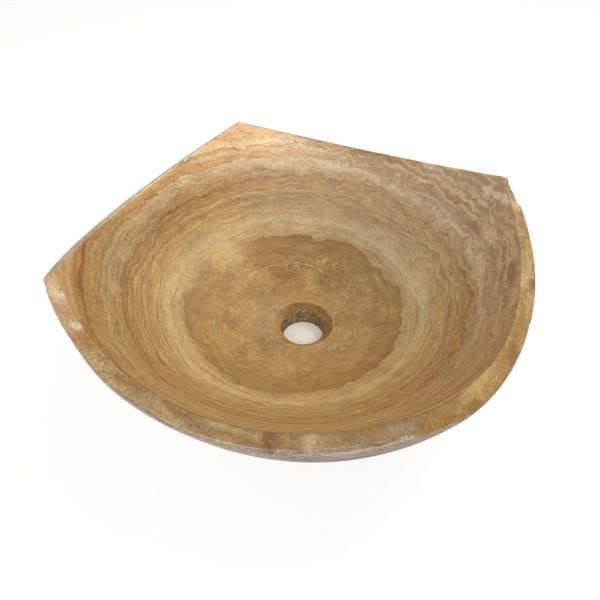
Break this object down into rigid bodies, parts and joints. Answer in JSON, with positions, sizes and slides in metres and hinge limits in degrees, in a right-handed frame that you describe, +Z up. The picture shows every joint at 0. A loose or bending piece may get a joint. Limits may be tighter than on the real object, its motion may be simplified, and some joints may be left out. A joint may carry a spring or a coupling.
{
  "type": "vessel sink",
  "caption": "Square-rimmed vessel sink carved from one block of banded travertine, with dipping sides, raised corners, a spherical hollow and an open drain hole.",
  "frame": {"origin": "centre of the flat foot's underside, on the axis of the drain hole", "axes": "+Z up along the axis of the hollow and the drain hole; each rim side faces +X, +Y, -X or -Y"},
  "size_m": [0.404, 0.404, 0.1567],
  "materials": {
    "travertine": "honed"
  },
  "bodies": {
    "root": {"basin": "travertine"}
  },
  "joints": []
}
